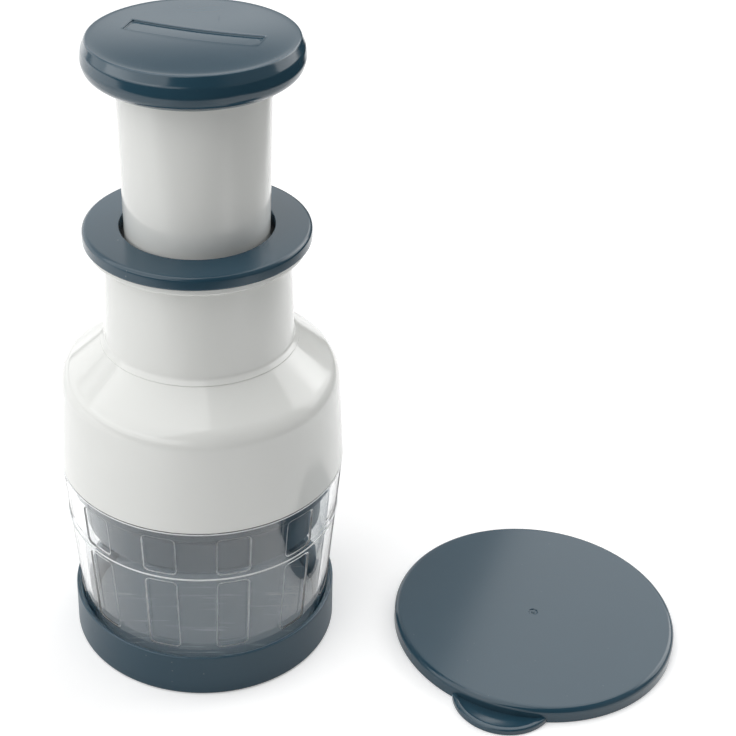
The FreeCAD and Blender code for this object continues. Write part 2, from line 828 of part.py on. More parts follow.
def spring_path(bottom, top):
    """Helix in quarter turns, each made of two arcs that share their tangent."""
    quarters = 4 * spring_turns
    climb = (top - bottom) / quarters
    places = []
    courses = []
    for index in range(quarters + 1):
        angle = math.pi / 2 * index
        x = spring_mean_r * math.cos(angle)
        y = spring_mean_r * math.sin(angle)
        places.append(FreeCAD.Vector(x, y, bottom + climb * index))
        courses.append(FreeCAD.Vector(-y, x, climb / (math.pi / 2)).normalize())
    edges = []
    for index in range(quarters):
        start, end = places[index], places[index + 1]
        leave, arrive = courses[index], courses[index + 1]
        across = end - start
        both = across.dot(leave + arrive)
        apart = 2 * (1 - leave.dot(arrive))
        run = (math.sqrt(both ** 2 + apart * across.dot(across)) - both) / apart
        first_corner = start + leave * run
        second_corner = end - arrive * run
        joint = (first_corner + second_corner) / 2
        edges.append(bend(start, first_corner, joint))
        edges.append(bend(joint, second_corner, end))
    print("spring least gap to itself, mm:", round(4 * climb - 2 * spring_wire_r, 2))
    return Part.Wire(edges)


def return_spring():
    """Round-wire coil spring between the two seats."""
    bottom = barrel_floor_top + seat_thickness + spring_wire_r + fit_gap
    top = tube_cap_bottom - seat_thickness - spring_wire_r - fit_gap
    path = spring_path(bottom, top)
    start = FreeCAD.Vector(spring_mean_r, 0, bottom)
    section = Part.Wire(Part.makeCircle(spring_wire_r, start, FreeCAD.Vector(0, 1, 0)))
    return path.makePipeShell([section], True, False)


def storage_lid():
    """Flat lid for the cup's mouth, skirt down on the table, with a dished thumb tab."""
    lid = turned([
        (0, lid_height - lid_roof),
        (lid_inner_r, lid_height - lid_roof),
        (lid_inner_r, 0),
        (lid_r, 0),
        (lid_r, lid_height, lid_round),
        (0, lid_height),
    ])
    gate = disc(lid_gate_r, lid_height - lid_gate_depth, lid_gate_depth)
    angle = math.radians(tab_direction)
    tab_x = (lid_r - tab_inset) * math.cos(angle)
    tab_y = (lid_r - tab_inset) * math.sin(angle)
    tab = disc(tab_r, 0, tab_thickness, tab_x, tab_y)
    tab_edges = [edge for edge in tab.Edges if edge.BoundBox.ZMin > tab_thickness / 2]
    tab = tab.makeFillet(tab_thickness / 3, tab_edges)
    dish_r = tab_r - tab_rim
    dish_sphere_r = (dish_r ** 2 + tab_dish_depth ** 2) / (2 * tab_dish_depth)
    dish_z = tab_thickness - tab_dish_depth + dish_sphere_r
    dish = Part.makeSphere(dish_sphere_r, FreeCAD.Vector(tab_x, tab_y, dish_z))
    tab = tab.cut([dish, disc(lid_inner_r + lid_wall / 2, 0, lid_height)])
    lid = lid.cut(gate).fuse(tab)
    lid.translate(FreeCAD.Vector(lid_x, lid_y, 0))
    return lid


pieces = {
    "base_cap": base_cap,
    "chopping_mat": chopping_mat,
    "clear_cup": clear_cup,
    "blade_guard": blade_guard,
    "wiper_ring": wiper_ring,
    "wiper_plate": wiper_plate,
    "zigzag_blade": zigzag_blade,
    "blade_carrier": blade_carrier,
    "foot_rivets": foot_rivets,
    "spindle": spindle,
    "thrust_washer": thrust_washer,
    "spindle_clip": spindle_clip,
    "spindle_nut": spindle_nut,
    "guide_barrel": guide_barrel,
    "barrel_screws": barrel_screws,
    "housing_shell": housing_shell,
    "neck_sleeve": neck_sleeve,
    "collar_ring": collar_ring,
    "plunger_tube": plunger_tube,
    "tube_cap": tube_cap,
    "knob_shell": knob_shell,
    "knob_underplate": knob_underplate,
    "buffer_ring": buffer_ring,
    "lower_spring_seat": lower_spring_seat,
    "upper_spring_seat": upper_spring_seat,
    "return_spring": return_spring,
    "storage_lid": storage_lid,
}

os.makedirs("parts", exist_ok=True)
for name, make in pieces.items():
    shape = make()
    print(name, "solids", len(shape.Solids), "valid", shape.isValid(), "volume", round(shape.Volume, 1))
    shape.exportStep("parts/" + name + ".step")
print("stroke", stroke, "blade turn per metre of stroke, radians:", round(math.radians(twist_rate) * 1000, 5))
print("heights", round(joint_z, 2), round(collar_top, 2), round(knob_top, 2))
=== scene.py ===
import bmesh
import bpy
import math
from mathutils import Matrix, Vector


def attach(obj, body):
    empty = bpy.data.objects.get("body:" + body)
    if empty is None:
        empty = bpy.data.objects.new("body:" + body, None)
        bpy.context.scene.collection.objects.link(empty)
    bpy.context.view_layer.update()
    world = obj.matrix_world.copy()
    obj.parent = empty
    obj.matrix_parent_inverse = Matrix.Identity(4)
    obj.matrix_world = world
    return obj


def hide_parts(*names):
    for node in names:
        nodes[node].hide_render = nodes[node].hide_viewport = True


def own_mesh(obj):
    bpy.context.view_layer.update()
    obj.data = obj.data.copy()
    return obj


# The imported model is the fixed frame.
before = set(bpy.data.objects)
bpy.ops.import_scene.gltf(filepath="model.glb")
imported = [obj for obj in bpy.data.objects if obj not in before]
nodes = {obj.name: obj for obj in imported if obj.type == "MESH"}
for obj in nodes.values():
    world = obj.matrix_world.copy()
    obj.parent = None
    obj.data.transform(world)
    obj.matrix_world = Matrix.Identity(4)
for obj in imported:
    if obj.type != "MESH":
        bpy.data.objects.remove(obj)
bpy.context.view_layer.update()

# Base cap: a shallow dish of slate-blue plastic, injection moulded in one shot. The cup pushes into
# it from above. Its rim slopes inwards, so that a dark line shows between the rim and the cup.
mm = 0.001
round_steps = 7
round_reach = 0.49
turn_steps = 192
on_axis = 1e-6
crease_angle = math.radians(38)

base_height = 17.5
base_floor = 3
base_foot_r = 48.5
base_foot_round = 1.2
base_rim_r = 48.3
base_rim_round = 0.5
base_rim_slope = 1.3
base_well_top_r = 46.4
base_well_foot_r = 45.27
base_corners = [
    (0, 0), (base_foot_r, 0, base_foot_round), (base_rim_r, base_height, base_rim_round),
    (base_well_top_r, base_height - base_rim_slope), (base_well_foot_r, base_floor), (0, base_floor),
]

flow_scale = 26.0
flow_range = (0.35, 0.7)
flow_roughness = 0.05
hair_stretch = (900.0, 60.0, 700.0)
hair_turn = (0.3, 0.5, 0.9)
hair_range = (0.66, 0.74)
hair_patch_scale = 60.0
hair_patch_range = (0.5, 0.68)
hair_roughness = 0.25
dust_scale = 420.0
dust_size_range = (0.16, 0.08)
dust_share_range = (0.93, 0.97)
dust_colour = (0.75, 0.75, 0.74, 1)
plastic_ior = 1.5


def wire(tree, kind, inputs=None, **settings):
    """New shader node with its settings, and with its inputs linked or set."""
    node = tree.nodes.new(kind)
    for name, value in settings.items():
        setattr(node, name, value)
    for name, value in (inputs or {}).items():
        if isinstance(value, bpy.types.NodeSocket):
            tree.links.new(value, node.inputs[name])
        else:
            node.inputs[name].default_value = value
    return node


def sums(tree, operation, first, second):
    """Output of one Math node."""
    return wire(tree, "ShaderNodeMath", {0: first, 1: second}, operation=operation).outputs[0]


def spread(tree, value, low, high, start=0.0, end=1.0):
    """Value taken smoothly from the range low to high into the range start to end."""
    inputs = {"Value": value, "From Min": low, "From Max": high, "To Min": start, "To Max": end}
    return wire(tree, "ShaderNodeMapRange", inputs, interpolation_type="SMOOTHSTEP").outputs["Result"]


def blended(tree, share, first, second):
    """Colour between two colours."""
    return wire(tree, "ShaderNodeMix", {0: share, 6: first, 7: second}, data_type="RGBA").outputs[2]


def own_place(tree):
    """Place on the piece, in metres."""
    return wire(tree, "ShaderNodeTexCoord").outputs["Object"]


def stretched(tree, place, scale, turn=(0, 0, 0)):
    """Place turned and stretched, for a pattern that runs one way."""
    return wire(tree, "ShaderNodeMapping", {
        "Vector": place, "Rotation": turn, "Scale": scale}).outputs["Vector"]


def noise(tree, place, scale, detail, distortion=0.0):
    """Cloudy noise from 0 to 1."""
    return wire(tree, "ShaderNodeTexNoise", {
        "Vector": place, "Scale": scale, "Detail": detail, "Distortion": distortion}).outputs["Fac"]


def bumped(tree, shader, height, strength, distance=0.0001):
    """Gives a shader the bumps of a height."""
    bumps = wire(tree, "ShaderNodeBump", {"Height": height, "Strength": strength, "Distance": distance})
    tree.links.new(bumps.outputs["Normal"], shader["Normal"])


def new_group(name, inputs, outputs):
    """Empty shader node group with named sockets, and its two end nodes."""
    group = bpy.data.node_groups.new(name, "ShaderNodeTree")
    for socket_name, kind, value in inputs:
        socket = group.interface.new_socket(socket_name, in_out="INPUT", socket_type=kind)
        socket.default_value = value
    for socket_name, kind in outputs:
        group.interface.new_socket(socket_name, in_out="OUTPUT", socket_type=kind)
    return group, group.nodes.new("NodeGroupInput").outputs, group.nodes.new("NodeGroupOutput").inputs


def moulded_skin_group():
    """Skin of moulded plastic: faint flow clouds, fine grain, hair scratches and dust specks."""
    group, given, made = new_group("moulded skin", [
        ("Colour", "NodeSocketColor", (0.5, 0.5, 0.5, 1)),
        ("Flow Colour", "NodeSocketColor", (0.4, 0.4, 0.4, 1)),
        ("Flow", "NodeSocketFloat", 0.3),
        ("Roughness", "NodeSocketFloat", 0.3),
        ("Grain Scale", "NodeSocketFloat", 1500.0),
        ("Grain", "NodeSocketFloat", 0.3),
        ("Scratches", "NodeSocketFloat", 0.3),
        ("Dust", "NodeSocketFloat", 0.1),
    ], [("Colour", "NodeSocketColor"), ("Roughness", "NodeSocketFloat"), ("Height", "NodeSocketFloat")])
    place = own_place(group)
    clouds = noise(group, place, flow_scale, 4.0, distortion=0.6)
    flow = sums(group, "MULTIPLY", spread(group, clouds, *flow_range), given["Flow"])
    grain = sums(group, "MULTIPLY", noise(group, place, given["Grain Scale"], 2.0), given["Grain"])
    hairs = noise(group, stretched(group, place, hair_stretch, hair_turn), 1.0, 3.0)
    patches = noise(group, place, hair_patch_scale, 2.0)
    scratch = sums(group, "MULTIPLY", spread(group, hairs, *hair_range),
                   spread(group, patches, *hair_patch_range))
    scratch = sums(group, "MULTIPLY", scratch, given["Scratches"])
    specks = wire(group, "ShaderNodeTexVoronoi", {
        "Vector": place, "Scale": dust_scale, "Randomness": 1.0}).outputs
    rare = wire(group, "ShaderNodeTexWhiteNoise", {"Vector": specks["Position"]}).outputs["Value"]
    size = spread(group, specks["Distance"], *dust_size_range)
    dust = sums(group, "MULTIPLY", size, spread(group, rare, *dust_share_range))
    dust = sums(group, "MULTIPLY", dust, given["Dust"])
    colour = blended(group, flow, given["Colour"], given["Flow Colour"])
    rough = sums(group, "ADD", given["Roughness"], sums(group, "MULTIPLY", clouds, flow_roughness))
    rough = sums(group, "ADD", rough, sums(group, "MULTIPLY", scratch, hair_roughness))
    group.links.new(blended(group, dust, colour, dust_colour), made["Colour"])
    group.links.new(rough, made["Roughness"])
    group.links.new(sums(group, "SUBTRACT", grain, scratch), made["Height"])
    return group


moulded_skin = moulded_skin_group()


def new_material(name):
    """Material with a bare Principled BSDF, its tree and the shader's inputs."""
    material = bpy.data.materials.new(name)
    material.use_nodes = True
    return material, material.node_tree, material.node_tree.nodes["Principled BSDF"].inputs


def plastic(name, colour, flow_colour, roughness, grain_scale=1500.0, grain=0.3, flow=0.35,
            scratches=0.3, dust=0.1, bump=0.12):
    """Moulded plastic with its own colours and skin."""
    material, tree, shader = new_material(name)
    skin = wire(tree, "ShaderNodeGroup", {
        "Colour": colour, "Flow Colour": flow_colour, "Flow": flow, "Roughness": roughness,
        "Grain Scale": grain_scale, "Grain": grain, "Scratches": scratches, "Dust": dust,
    }, node_tree=moulded_skin).outputs
    tree.links.new(skin["Colour"], shader["Base Color"])
    tree.links.new(skin["Roughness"], shader["Roughness"])
    bumped(tree, shader, skin["Height"], bump)
    shader["IOR"].default_value = plastic_ior
    return material


def rounded(corners):
    """Closed line through (radius, height) corners, where a third number rounds the corner."""
    line = []
    for index, corner in enumerate(corners):
        here = Vector(corner[:2])
        if len(corner) < 3:
            line.append(here)
            continue
        back = Vector(corners[index - 1][:2]) - here
        ahead = Vector(corners[(index + 1) % len(corners)][:2]) - here
        half_angle = back.angle(ahead) / 2
        reach = min(corner[2] / math.tan(half_angle), round_reach * back.length, round_reach * ahead.length)
        radius = reach * math.tan(half_angle)
        inward = (back.normalized() + ahead.normalized()).normalized()
        centre = here + inward * (radius / math.sin(half_angle))
        start = here + back.normalized() * reach - centre
        end = here + ahead.normalized() * reach - centre
        first = math.atan2(start.y, start.x)
        sweep = (math.atan2(end.y, end.x) - first + math.pi) % (2 * math.pi) - math.pi
        for step in range(round_steps + 1):
            angle = first + sweep * step / round_steps
            line.append(centre + Vector((math.cos(angle), math.sin(angle))) * radius)
    return line


def even_angles(count):
    """Angles round the axis, evenly spaced."""
    return [2 * math.pi * index / count for index in range(count)]


def turned(corners, angles=None, sink=None, closed=True):
    """Mesh turned about the Z axis, and its rings. Sink is a depth at an angle, radius and height."""
    angles = angles or even_angles(turn_steps)
    mesh = bmesh.new()
    rings = []
    for radius, height in rounded(corners):
        if radius < on_axis:
            rings.append([mesh.verts.new((0, 0, height * mm))])
            continue
        ring = []
        for angle in angles:
            reach = (radius - (sink(angle, radius, height) if sink else 0)) * mm
            ring.append(mesh.verts.new((reach * math.cos(angle), reach * math.sin(angle), height * mm)))
        rings.append(ring)
    joined = list(zip(rings, rings[1:] + rings[:1])) if closed else list(zip(rings, rings[1:]))
    for lower, upper in joined:
        join_rings(mesh, lower, upper)
    return mesh, rings


def join_rings(mesh, lower, upper):
    """Faces between two rings of points, either of which may be a single point."""
    count = max(len(lower), len(upper))
    if count == 1:
        return
    for index in range(count):
        following = (index + 1) % count
        corners = [
            lower[index % len(lower)], lower[following % len(lower)],
            upper[following % len(upper)], upper[index % len(upper)],
        ]
        mesh.faces.new(list(dict.fromkeys(corners)))


def piece(name, mesh, material, body, replaced=(), place=(0, 0, 0)):
    """Object from a mesh, smooth but for its creases, that rides on its body and stands for CAD nodes."""
    bmesh.ops.translate(mesh, verts=mesh.verts, vec=Vector(place) * mm)
    bmesh.ops.recalc_face_normals(mesh, faces=mesh.faces)
    data = bpy.data.meshes.new(name)
    mesh.to_mesh(data)
    mesh.free()
    data.polygons.foreach_set("use_smooth", [True] * len(data.polygons))
    data.set_sharp_from_angle(angle=crease_angle)
    data.materials.append(material)
    made = bpy.data.objects.new(name, data)
    bpy.context.scene.collection.objects.link(made)
    shading = made.modifiers.new("even shading", "WEIGHTED_NORMAL")
    shading.keep_sharp = True
    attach(made, body)
    if replaced:
        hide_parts(*replaced)
    return made


def dress(material, *names):
    """Gives CAD nodes their material."""
    for name in names:
        for material_slot in nodes[name].material_slots:
            material_slot.material = material


slate = (0.019, 0.056, 0.085, 1)
slate_flow = (0.023, 0.062, 0.092, 1)
slate_satin = plastic(
    "slate satin plastic", slate, slate_flow, 0.3, grain_scale=1800.0, grain=0.5, bump=0.2)
base_mesh, _ = turned(base_corners)
piece("base_cap_moulding", base_mesh, slate_satin, "base", ["base_cap"])

# Chopping mat: a disc of softer grey plastic that drops onto the base's floor. The blade's edge
# lands on it, so its face is scored by short straight cuts.
mat_colour = (0.07, 0.095, 0.115, 1)
mat_cut_colour = (0.16, 0.185, 0.205, 1)
mat_cut_scale = (40.0, 900.0, 40.0)
mat_cut_turns = (0.35, 1.4, 2.45)
mat_cut_range = (0.66, 0.72)
mat_grain_scale = 900.0
mat_grain_height = 0.3
mat_roughness = 0.42
mat_roughness_swing = 0.15
mat_bump = 0.35
mat_bump_depth = 0.0002


def scored_mat():
    """Matt plastic with cuts in three directions."""
    material, tree, shader = new_material("scored mat plastic")
    place = own_place(tree)
    cuts = 0.0
    for turn in mat_cut_turns:
        lines = noise(tree, stretched(tree, place, mat_cut_scale, (0, 0, turn)), 1.0, 2.0)
        cuts = sums(tree, "MAXIMUM", spread(tree, lines, *mat_cut_range), cuts)
    grain = noise(tree, place, mat_grain_scale, 3.0)
    rough = sums(tree, "ADD", mat_roughness, sums(tree, "MULTIPLY", grain, mat_roughness_swing))
    tree.links.new(blended(tree, cuts, mat_colour, mat_cut_colour), shader["Base Color"])
    tree.links.new(rough, shader["Roughness"])
    height = sums(tree, "SUBTRACT", sums(tree, "MULTIPLY", grain, mat_grain_height), cuts)
    bumped(tree, shader, height, mat_bump, mat_bump_depth)
    return material


dress(scored_mat(), "chopping_mat")

# Clear cup: a drafted tube of clear hard plastic with twelve sunk windows in each of two rows and
# a thin bead between the rows. It is moulded in one shot and stands in the base cap. The bead, the
# rim and the slopes round the windows get a pale rough plastic: painted highlight for bright lines.
cup_bottom = 3.3
cup_top = 74.2
cup_wall = 2.8
cup_r_at_base_rim = 46.1
cup_draft = 0.0776
cup_edge_round = 0.5
cup_plain_foot = 1.5
cup_plain_head = 1.2
bead_z = 53.3
bead_half = 0.35
bead_proud = 0.3
bead_steps = 4
window_count = 12
window_first_azimuth = 14.0
window_half_angle = 7.3
window_rows = ((20.0, 51.8), (54.8, 71.5))
window_corner = 2.2
window_depth = 0.3
window_slope = 0.9
window_edge_out = 0.05
window_steps_in = (-0.3, -0.12, 0.0, 0.12, 0.25, 0.4, 0.55, 0.75, 1.0, 1.3, 1.6, 1.9, 2.3, 2.8)
window_columns = (
    0, 1.5, 3.0, 4.0, 4.6, 5.0, 5.35, 5.65, 5.9, 6.12, 6.3, 6.45, 6.58, 6.7, 6.82, 6.94, 7.06,
    7.18, 7.3, 7.42, 7.54, 7.66, 7.85, 8.3, 9.2, 10.5, 12.2, 13.8,
)
clear_tint = (0.98, 0.99, 0.992, 1)
clear_flow_tint = (0.965, 0.98, 0.985, 1)
clear_shadow = (0.93, 0.94, 0.95, 1)
ripple_scale = 90.0
ripple_height = 0.6
clear_bump = 0.08
clear_bump_depth = 0.0004
# Painted highlight: pale colours and a rough, less clear plastic for the bead, the rim and the window slopes.
highlight_grain_scale = 700.0
painted_highlight_dark = (0.82, 0.84, 0.85, 1)
painted_highlight_light = (0.92, 0.94, 0.95, 1)
highlight_roughness = 0.35
highlight_roughness_swing = 0.2
line_highlight_clearness = 0.15
slope_highlight_clearness = 0.8
rim_highlight_depths = (0.6, 0.1)
slope_highlight_shares = (0.28, 0.76)


def cup_r(height):
    """Outer radius of the cup at a height."""
    return cup_r_at_base_rim + cup_draft * (height - base_height)


def window_share(angle, height):
    """How far a place on the cup lies down the slope into a window: 0 outside, 1 on its floor."""
    period = 360 / window_count
    off = (math.degrees(angle) + 90 - window_first_azimuth + period / 2) % period - period / 2
    deepest = 0
    for bottom, top in window_rows:
        half_width = cup_r((bottom + top) / 2) * math.sin(math.radians(window_half_angle))
        across = abs(cup_r(height) * math.sin(math.radians(off))) - half_width + window_corner
        upright = abs(height - (bottom + top) / 2) - (top - bottom) / 2 + window_corner
        outside = math.hypot(max(across, 0), max(upright, 0)) + min(max(across, upright), 0) - window_corner
        deepest = max(deepest, min((window_edge_out - outside) / window_slope, 1))
    return deepest


def window_sink(angle, radius, height):
    """Depth of the sunk windows at a place on the cup."""
    if radius < cup_r(height) - cup_wall / 2:
        return 0
    share = window_share(angle, height)
    return window_depth * share * share * (3 - 2 * share)


def cup_rows():
    """Outer line of the cup from foot to top, close-set at the windows' edges and over the bead."""
    heights = {cup_bottom + cup_plain_foot, cup_top - cup_plain_head}
    for bottom, top in window_rows:
        heights |= {bottom + step for step in window_steps_in} | {top - step for step in window_steps_in}
        heights |= {bottom + (top - bottom) * share for share in (0.25, 0.5, 0.75)}
    line = [(cup_r(height), height) for height in sorted(heights) if abs(height - bead_z) > bead_half]
    for step in range(-bead_steps, bead_steps + 1):
        share = step / bead_steps
        height = bead_z + bead_half * share
        line.append((cup_r(height) + bead_proud * math.sqrt(1 - share * share), height))
    return sorted(line, key=lambda point: point[1])


def cup_angles():
    """Angles round the cup, close-set at the windows' upright edges."""
    period = 360 / window_count
    offs = sorted({step for column in window_columns for step in (column, -column)} | {period / 2})
    centres = [window_first_azimuth - 90 + period * index for index in range(window_count)]
    return [math.radians(centre + off) for centre in centres for off in offs]


def clear_plastic():
    """Clear hard plastic with faint moulding ripple and hair scratches, which lets light through."""
    material, tree, shader = new_material("clear cup plastic")
    skin = wire(tree, "ShaderNodeGroup", {
        "Colour": clear_tint, "Flow Colour": clear_flow_tint, "Flow": 0.5, "Roughness": 0.0,
        "Grain": 0.0, "Scratches": 0.5, "Dust": 0.0,
    }, node_tree=moulded_skin).outputs
    ripple = sums(tree, "MULTIPLY", noise(tree, own_place(tree), ripple_scale, 1.0), ripple_height)
    tree.links.new(skin["Colour"], shader["Base Color"])
    tree.links.new(skin["Roughness"], shader["Roughness"])
    bumped(tree, shader, sums(tree, "ADD", ripple, skin["Height"]), clear_bump, clear_bump_depth)
    shader["Transmission Weight"].default_value = 1.0
    shader["IOR"].default_value = plastic_ior
    clear = wire(tree, "ShaderNodeBsdfTransparent", {"Color": clear_shadow}).outputs[0]
    shadow = wire(tree, "ShaderNodeLightPath").outputs["Is Shadow Ray"]
    mixed = wire(tree, "ShaderNodeMixShader", {
        0: shadow, 1: tree.nodes["Principled BSDF"].outputs[0], 2: clear}).outputs[0]
    tree.links.new(mixed, tree.nodes["Material Output"].inputs["Surface"])
    return material


def painted_highlight_plastic(name, clearness):
    """Pale rough clear plastic that scatters the light: painted highlight for bright lines on the cup."""
    material, tree, shader = new_material(name)
    grain = noise(tree, own_place(tree), highlight_grain_scale, 3.0)
    rough = sums(tree, "ADD", highlight_roughness, sums(tree, "MULTIPLY", grain, highlight_roughness_swing))
    tree.links.new(blended(tree, grain, painted_highlight_dark, painted_highlight_light), shader["Base Color"])
    tree.links.new(rough, shader["Roughness"])
    shader["Transmission Weight"].default_value = clearness
    shader["IOR"].default_value = plastic_ior
    return material


cup_foot_r = cup_r(cup_bottom)
cup_mesh, _ = turned([
    (cup_foot_r - cup_wall, cup_bottom), (cup_foot_r, cup_bottom, cup_edge_round), *cup_rows(),
    (cup_r(cup_top), cup_top, cup_edge_round), (cup_r(cup_top) - cup_wall, cup_top),
], angles=cup_angles(), sink=window_sink)
cup = piece("clear_cup_moulding", cup_mesh, clear_plastic(), "cup", ["clear_cup"])
# The bead and the rim get the painted highlight plastic, the slopes round the windows a clearer one.
cup.data.materials.append(painted_highlight_plastic("painted highlight cup plastic", line_highlight_clearness))
cup.data.materials.append(painted_highlight_plastic("painted highlight slope plastic", slope_highlight_clearness))
for face in cup.data.polygons:
    middle = face.center / mm
    outside = math.hypot(middle.x, middle.y) > cup_r(middle.z) - cup_edge_round
    on_bead = abs(middle.z - bead_z) < bead_half
    on_rim = rim_highlight_depths[0] > cup_top - middle.z > rim_highlight_depths[1]
    on_slope = slope_highlight_shares[0] < window_share(math.atan2(middle.y, middle.x), middle.z) < slope_highlight_shares[1]
    if outside and (on_bead or on_rim):
        face.material_index = 1
    elif outside and on_slope:
        face.material_index = 2

# Blade guard, wiper and its snap ring: the guard is a dark sleeve that hangs from the housing into
# the cup. The wiper plate lies loose on its lip and is held down by the ring.
guard_foot = 52.5
guard_r = 43.0
guard_wall = 1.6
guard_foot_round = 0.6
guard_lip = 1.2
guard_lip_r = 38.8
guard_flare = (66.0, 69.0)
guard_flare_rounds = (3, 2)
guard_flare_wall = 0.8
guard_spigot_r = 46.996
guard_flange_r = 47.89
guard_flange = (74.6, 76.6)
guard_corners = [
    (guard_lip_r, guard_foot), (guard_r, guard_foot, guard_foot_round),
    (guard_r, guard_flare[0], guard_flare_rounds[0]),
    (guard_spigot_r, guard_flare[1], guard_flare_rounds[1]),
    (guard_spigot_r, guard_flange[0]), (guard_flange_r, guard_flange[0]),
    (guard_flange_r, guard_flange[1]), (guard_spigot_r - guard_wall, guard_flange[1]),
    (guard_spigot_r - guard_wall, guard_flare[1] + guard_flare_wall),
    (guard_r - guard_wall, guard_flare[0] + guard_flare_wall),
    (guard_r - guard_wall, guard_foot + guard_lip), (guard_lip_r, guard_foot + guard_lip),
]
guard_slate = (0.03, 0.05, 0.066, 1)
guard_slate_flow = (0.038, 0.058, 0.075, 1)
guard_plastic = plastic("slate guard plastic", guard_slate, guard_slate_flow, 0.34, grain=0.5)
guard_mesh, _ = turned(guard_corners)
piece("blade_guard_sleeve", guard_mesh, guard_plastic, "housing", ["blade_guard"])

inner_white = (0.66, 0.67, 0.65, 1)
inner_white_flow = (0.6, 0.61, 0.6, 1)
inner_plastic = plastic("inner white plastic", inner_white, inner_white_flow, 0.38, grain=0.6, bump=0.25)
dress(inner_plastic, "wiper_plate", "wiper_ring")

# Blade, carrier and spindle: a stainless strip bent to a zigzag is moulded into a plastic disc.
# The disc is riveted to the foot of a twisted square steel spindle, held above by washer and clip.
steel_light = (0.62, 0.63, 0.64, 1)
steel_dark = (0.42, 0.43, 0.45, 1)
steel_line_range = (0.3, 0.7)
steel_stain_scale = 45.0
steel_stain_range = (0.2, 0.7)
steel_roughness_swing = 0.18


def drawn_steel_group():
    """Fine lines of drawn or ground steel, with faint stains: colour, roughness and height."""
    group, given, made = new_group("drawn steel", [
        ("Light", "NodeSocketColor", steel_light),
        ("Dark", "NodeSocketColor", steel_dark),
        ("Line Scale", "NodeSocketVector", (60.0, 60.0, 2400.0)),
        ("Roughness", "NodeSocketFloat", 0.2),
    ], [("Colour", "NodeSocketColor"), ("Roughness", "NodeSocketFloat"), ("Height", "NodeSocketFloat")])
    place = own_place(group)
    lines = noise(group, stretched(group, place, given["Line Scale"]), 1.0, 4.0)
    stain = noise(group, place, steel_stain_scale, 5.0)
    share = sums(group, "MULTIPLY", spread(group, lines, *steel_line_range),
                 spread(group, stain, *steel_stain_range))
    rough = sums(group, "ADD", given["Roughness"], sums(group, "MULTIPLY", share, steel_roughness_swing))
    group.links.new(blended(group, share, given["Light"], given["Dark"]), made["Colour"])
    group.links.new(rough, made["Roughness"])
    group.links.new(lines, made["Height"])
    return group


drawn_steel = drawn_steel_group()


def steel(name, line_scale, roughness, bump):
    """Steel with drawn lines in its own direction."""
    material, tree, shader = new_material(name)
    metal = wire(tree, "ShaderNodeGroup", {
        "Line Scale": line_scale, "Roughness": roughness}, node_tree=drawn_steel).outputs
    tree.links.new(metal["Colour"], shader["Base Color"])
    tree.links.new(metal["Roughness"], shader["Roughness"])
    bumped(tree, shader, metal["Height"], bump)
    shader["Metallic"].default_value = 1.0
    return material


blade_steel = steel("ground blade steel", (70.0, 70.0, 2600.0), 0.16, 0.12)
bar_steel = steel("drawn bar steel", (1500.0, 1500.0, 50.0), 0.24, 0.2)
dress(blade_steel, "zigzag_blade")
dress(bar_steel, "spindle", "foot_rivets", "thrust_washer", "spindle_clip")
dress(inner_plastic, "blade_carrier")

# Guide barrel, spindle nut and screws: the barrel is screwed up into the housing and carries the
# nut with the twisted square bore. The tube's cross wall is of the same white plastic, and the
# washers at the spring's ends are of the same plated steel as the screws.
plated_steel = steel("plated screw steel", (300.0, 300.0, 300.0), 0.22, 0.05)
dress(inner_plastic, "guide_barrel", "spindle_nut", "tube_cap")
dress(plated_steel, "barrel_screws", "lower_spring_seat", "upper_spring_seat")

# Housing and neck: two glossy off-white mouldings. The neck is pushed into the housing's mouth and
# its foot lies on the slope, so that a fine seam runs round it.
housing_foot = 74.4
housing_foot_r = 50.5
housing_foot_round = 0.35
housing_wall = 2.4
housing_flange_r = 47.94
housing_ledge_r = 46.04
housing_ledge_top = (47.765, 79.0)
shoulder = (48.2, 110.46, 10)
shoulder_inside = (45.8, 109.35, 7.6)
mouth_r = 31.75
mouth = (121.13, 124.27)
mouth_round = 0.2
housing_corners = [
    (housing_foot_r, housing_foot, housing_foot_round), shoulder, (mouth_r, mouth[1], mouth_round),
    (mouth_r, mouth[0]), shoulder_inside, housing_ledge_top, (housing_ledge_r, housing_ledge_top[1]),
    (housing_ledge_r, guard_flange[1]), (housing_flange_r, guard_flange[1]),
    (housing_foot_r - housing_wall, housing_foot),
]

neck_bore_r = 29.0
neck_foot = 121.11
neck_spigot_r = 31.7
neck_spigot_top = 124.31
neck_skirt_r = 34.2
neck_skirt = (122.21, 122.71)
neck_skirt_rounds = (0.1, 0.2)
neck_root = (32.6, 124.05, 1.6)
neck_head = (31.2, 157.5, 0.9)
neck_flange = (36.5, 157.5, 0.7)
collar_foot = 160.2
tongue_r = (32.5, 34.1)
tongue_foot = 158.4
neck_corners = [
    (neck_bore_r, neck_foot), (neck_spigot_r, neck_foot), (neck_spigot_r, neck_spigot_top),
    (neck_skirt_r, neck_skirt[0], neck_skirt_rounds[0]), (neck_skirt_r, neck_skirt[1], neck_skirt_rounds[1]),
    neck_root, neck_head, neck_flange, (neck_flange[0], collar_foot),
    (tongue_r[1], collar_foot), (tongue_r[1], tongue_foot), (tongue_r[0], tongue_foot),
    (tongue_r[0], collar_foot), (neck_bore_r, collar_foot),
]

white = (0.80, 0.81, 0.785, 1)
white_flow = (0.77, 0.78, 0.755, 1)
white_gloss = plastic("off-white gloss plastic", white, white_flow, 0.08, grain_scale=1200.0, grain=0.25,
                      flow=0.3, scratches=0.25, dust=0.0, bump=0.08)
housing_mesh, _ = turned(housing_corners)
neck_mesh, _ = turned(neck_corners)
piece("housing_moulding", housing_mesh, white_gloss, "housing", ["housing_shell"])
piece("neck_moulding", neck_mesh, white_gloss, "housing", ["neck_sleeve"])

